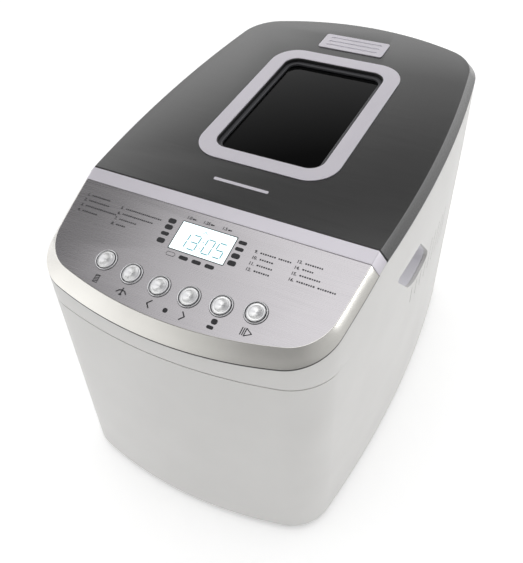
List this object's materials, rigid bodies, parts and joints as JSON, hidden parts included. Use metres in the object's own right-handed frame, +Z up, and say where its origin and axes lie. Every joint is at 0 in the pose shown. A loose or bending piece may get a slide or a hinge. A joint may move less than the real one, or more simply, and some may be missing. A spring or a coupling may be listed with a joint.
{
  "type": "bread machine",
  "caption": "Horizontal bread machine with a sloping control panel, a hinged lid with a window and steam vent, a removable pan and kneading paddles.",
  "frame": {"origin": "on the table plane, under the middle of the plan outline", "axes": "+Z up; +Y from the control panel towards the lid hinge; +X to the right of someone facing the panel"},
  "size_m": [0.26, 0.3955, 0.2763],
  "materials": {
    "housing_white": "satin light grey",
    "base_grey": "matt",
    "foot_rubber": "matt",
    "screw_steel": "plain",
    "silver_trim": "satin silver",
    "deck_white": "matt",
    "chamber_coating": "matt",
    "heater_steel": "dull",
    "bright_steel": "turned",
    "pan_coating": "non-stick satin",
    "pan_aluminium": "plain",
    "pulley_black": "matt",
    "bush_bronze": "plain",
    "belt_rubber": "matt",
    "zinc_sheet": "zinc plated",
    "motor_grey": "satin",
    "board_green": "solder resist",
    "component_black": "matt",
    "fascia_steel": "brushed across",
    "display_clear": "clear",
    "ring_silver": "polished",
    "button_metal": "spun",
    "lid_steel": "brushed across, dark",
    "liner_grey": "matt",
    "gasket_silicone": "matt",
    "window_clear": "clear, slightly smoked"
  },
  "bodies": {
    "base": {"base_plate": "base_grey", "base_screws": "screw_steel", "body_shell": "housing_white", "bread_pan": "pan_coating", "bridge_trim": "silver_trim", "button_rings": "ring_silver", "chamber_deck": "deck_white", "control_board": "board_green", "control_fascia": "fascia_steel", "cord_gland": "component_black", "display_module": "component_black", "display_window": "display_clear", "drive_bushes": "bush_bronze", "drive_frame": "zinc_sheet", "grip_cups": "housing_white", "heating_element": "heater_steel", "hinge_brackets": "zinc_sheet", "main_belt": "belt_rubber", "motor_body": "motor_grey", "motor_bracket": "zinc_sheet", "oven_chamber": "chamber_coating", "pan_base": "pan_aluminium", "pan_bushes": "bush_bronze", "pan_handle": "bright_steel", "pan_socket": "pan_aluminium", "panel_carrier": "deck_white", "power_board": "board_green", "power_components": "component_black", "push_switches": "component_black", "rubber_feet": "foot_rubber", "support_posts": "zinc_sheet", "temperature_probe": "bright_steel", "timing_belt": "belt_rubber"},
    "lid": {"lid_skin": "lid_steel", "lid_liner": "liner_grey", "lid_heat_plate": "pan_aluminium", "lid_gasket": "gasket_silicone", "window_bezel": "silver_trim", "window_glass": "window_clear", "inner_glass": "window_clear", "steam_vent": "silver_trim", "hinge_arms": "zinc_sheet", "hinge_pins": "bright_steel", "hinge_cover": "liner_grey"},
    "front_drive": {"front_drive_shaft": "bright_steel", "front_spindle": "bright_steel", "front_paddle": "pan_coating", "main_pulley": "pulley_black"},
    "rear_drive": {"rear_drive_shaft": "bright_steel", "rear_spindle": "bright_steel", "rear_paddle": "pan_coating", "rear_pulley": "pulley_black"},
    "motor_rotor": {"motor_shaft": "bright_steel", "motor_pulley": "pan_aluminium"},
    "button_1": {"button_1": "button_metal"},
    "button_2": {"button_2": "button_metal"},
    "button_3": {"button_3": "button_metal"},
    "button_4": {"button_4": "button_metal"},
    "button_5": {"button_5": "button_metal"},
    "button_6": {"button_6": "button_metal"}
  },
  "joints": [
    {"name": "lid_hinge", "type": "hinge", "parent": "base", "child": "lid", "pos_m": [0, 0.187, 0.265], "axis": [-1, 0, 0], "range_deg": [0, 85]},
    {"name": "front_drive_spin", "type": "hinge", "parent": "base", "child": "front_drive", "pos_m": [0, 0, 0.05], "axis": [0, 0, 1], "continuous": true},
    {"name": "rear_drive_spin", "type": "hinge", "parent": "base", "child": "rear_drive", "pos_m": [0, 0.1, 0.05], "axis": [0, 0, 1], "continuous": true},
    {"name": "motor_spin", "type": "hinge", "parent": "base", "child": "motor_rotor", "pos_m": [0.052, -0.118, 0.05], "axis": [0, 0, 1], "continuous": true},
    {"name": "button_1_press", "type": "slide", "parent": "base", "child": "button_1", "axis": [0, 0.3295, -0.9442], "range_m": [0, 0.001], "stiffness_N_per_m": 300},
    {"name": "button_2_press", "type": "slide", "parent": "base", "child": "button_2", "axis": [0, 0.3295, -0.9442], "range_m": [0, 0.001], "stiffness_N_per_m": 300},
    {"name": "button_3_press", "type": "slide", "parent": "base", "child": "button_3", "axis": [0, 0.3295, -0.9442], "range_m": [0, 0.001], "stiffness_N_per_m": 300},
    {"name": "button_4_press", "type": "slide", "parent": "base", "child": "button_4", "axis": [0, 0.3295, -0.9442], "range_m": [0, 0.001], "stiffness_N_per_m": 300},
    {"name": "button_5_press", "type": "slide", "parent": "base", "child": "button_5", "axis": [0, 0.3295, -0.9442], "range_m": [0, 0.001], "stiffness_N_per_m": 300},
    {"name": "button_6_press", "type": "slide", "parent": "base", "child": "button_6", "axis": [0, 0.3295, -0.9442], "range_m": [0, 0.001], "stiffness_N_per_m": 300}
  ],
  "couplings": [
    {"joint": "rear_drive_spin", "follows": "front_drive_spin", "ratio": 1},
    {"joint": "motor_spin", "follows": "front_drive_spin", "ratio": 5}
  ]
}
